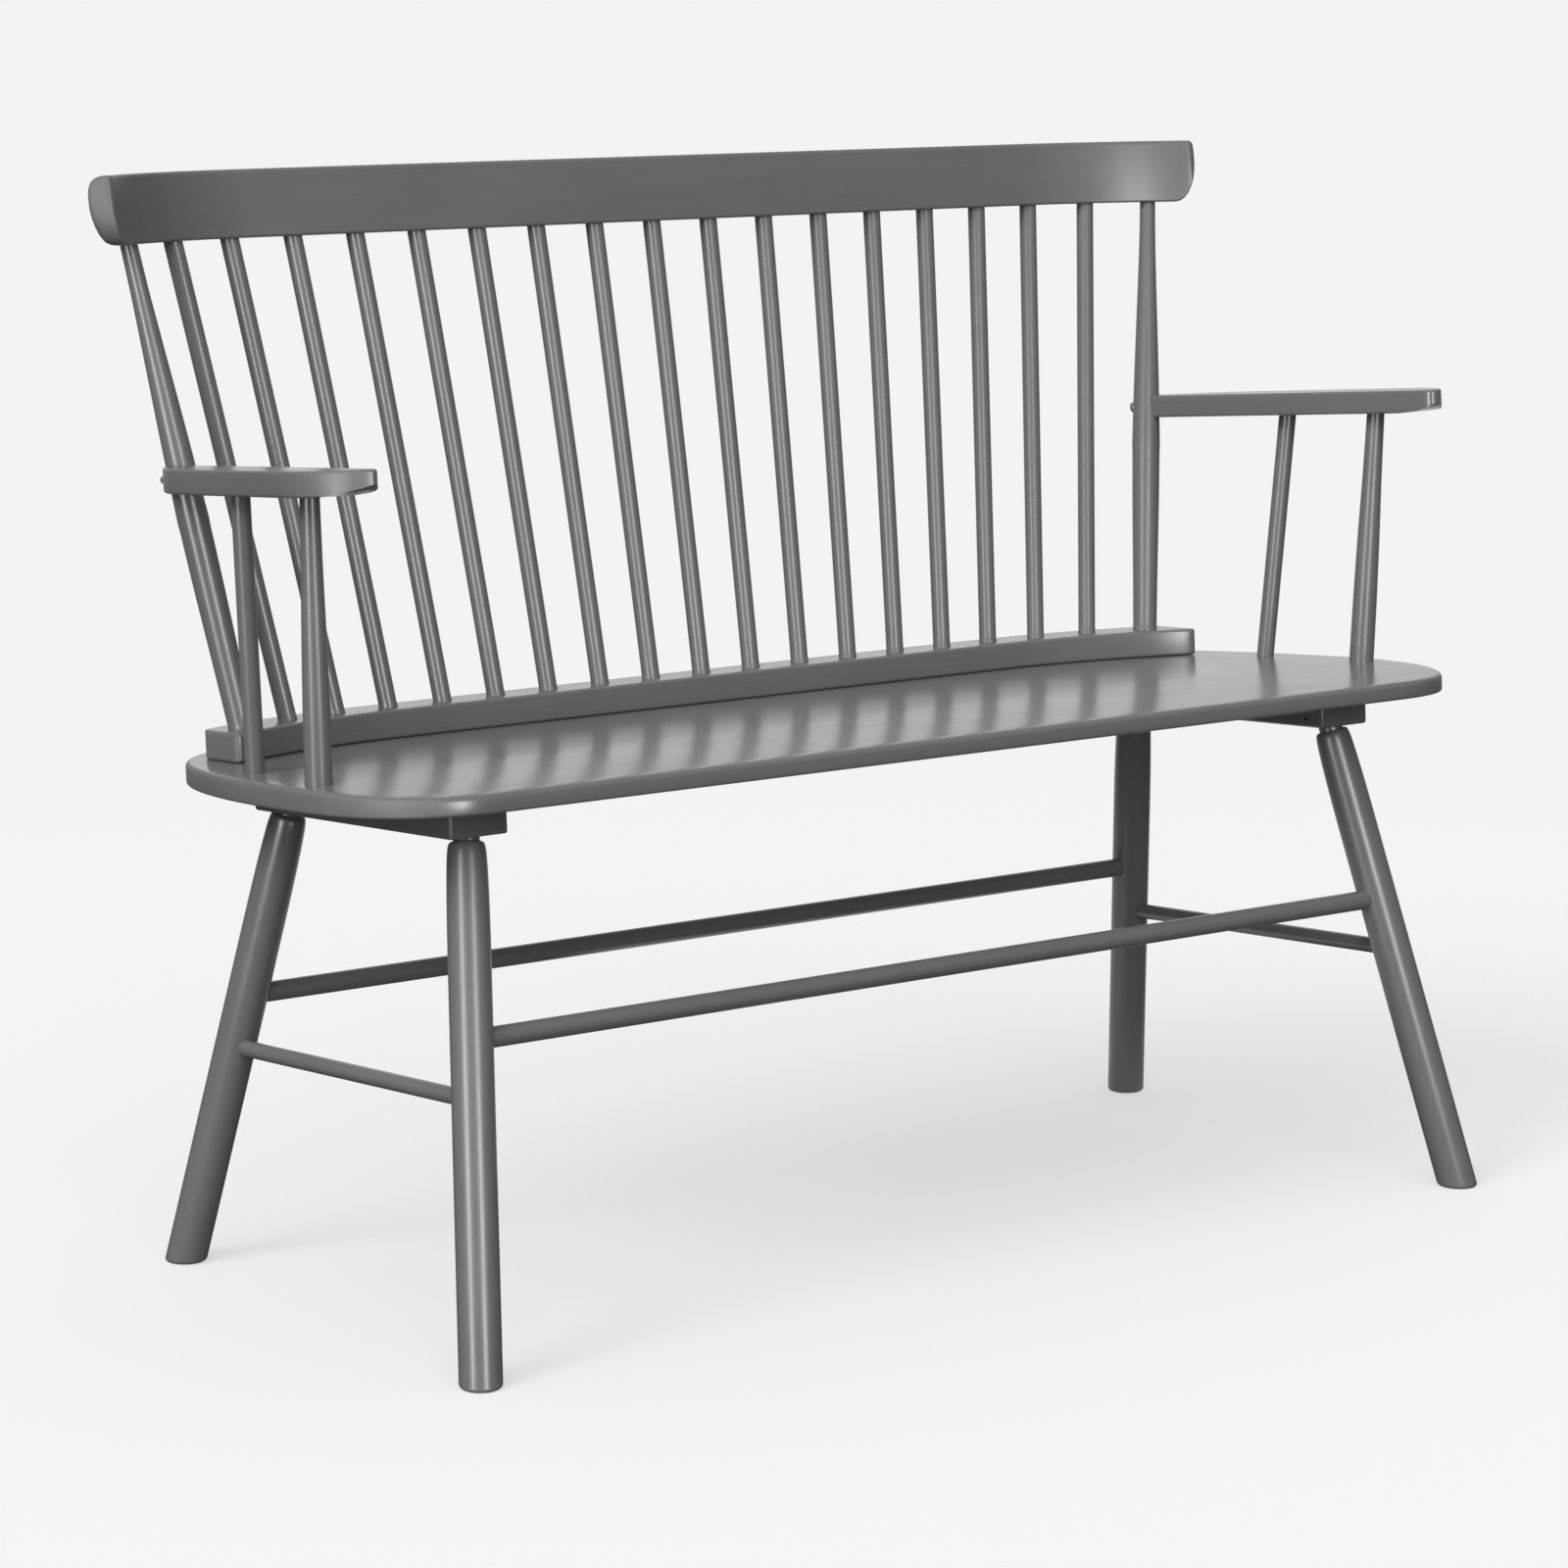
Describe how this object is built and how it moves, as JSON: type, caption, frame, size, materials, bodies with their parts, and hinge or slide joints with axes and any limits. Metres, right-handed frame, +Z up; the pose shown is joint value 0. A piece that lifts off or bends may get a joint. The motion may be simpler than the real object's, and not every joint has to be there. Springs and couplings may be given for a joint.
{
  "type": "spindle-back bench",
  "caption": "Open-leg deacons bench with a raked board seat, a bowed spindle back under a curved crest rail, and flat arms on turned supports.",
  "frame": {"origin": "middle of the bounding box at floor level", "axes": "+X along the bench to the right arm, +Y to the back, +Z up. The front of the seat faces -Y"},
  "size_m": [1.1688, 0.537, 0.902],
  "materials": {
    "painted_wood": "satin grey paint",
    "painted_steel": "satin grey paint",
    "steel": "zinc plated"
  },
  "bodies": {
    "root": {"seat_board": "painted_wood", "spindle_rail": "painted_wood", "crest_rail": "painted_wood", "back_post_left": "painted_wood", "back_post_right": "painted_wood", "spindle_01": "painted_wood", "spindle_02": "painted_wood", "spindle_03": "painted_wood", "spindle_04": "painted_wood", "spindle_05": "painted_wood", "spindle_06": "painted_wood", "spindle_07": "painted_wood", "spindle_08": "painted_wood", "spindle_09": "painted_wood", "spindle_10": "painted_wood", "spindle_11": "painted_wood", "spindle_12": "painted_wood", "spindle_13": "painted_wood", "spindle_14": "painted_wood", "spindle_15": "painted_wood", "spindle_16": "painted_wood", "spindle_17": "painted_wood", "arm_left": "painted_wood", "arm_right": "painted_wood", "arm_support_front_left": "painted_wood", "arm_support_front_right": "painted_wood", "arm_support_rear_left": "painted_wood", "arm_support_rear_right": "painted_wood", "cleat_left": "painted_wood", "cleat_right": "painted_wood", "leg_front_left": "painted_wood", "leg_front_right": "painted_wood", "leg_rear_left": "painted_wood", "leg_rear_right": "painted_wood", "stretcher_front": "painted_wood", "stretcher_rear": "painted_wood", "stretcher_left": "painted_wood", "stretcher_right": "painted_wood", "arm_bolt_left": "painted_steel", "arm_bolt_right": "painted_steel", "leg_pin_left_1": "steel", "leg_pin_left_2": "steel", "leg_pin_right_1": "steel", "leg_pin_right_2": "steel", "cleat_screw_left_1": "steel", "cleat_screw_left_2": "steel", "cleat_screw_left_3": "steel", "cleat_screw_right_1": "steel", "cleat_screw_right_2": "steel", "cleat_screw_right_3": "steel", "rail_screw_1": "steel", "rail_screw_2": "steel", "rail_screw_3": "steel", "rail_screw_4": "steel", "rail_screw_5": "steel", "rail_screw_6": "steel"}
  },
  "joints": []
}
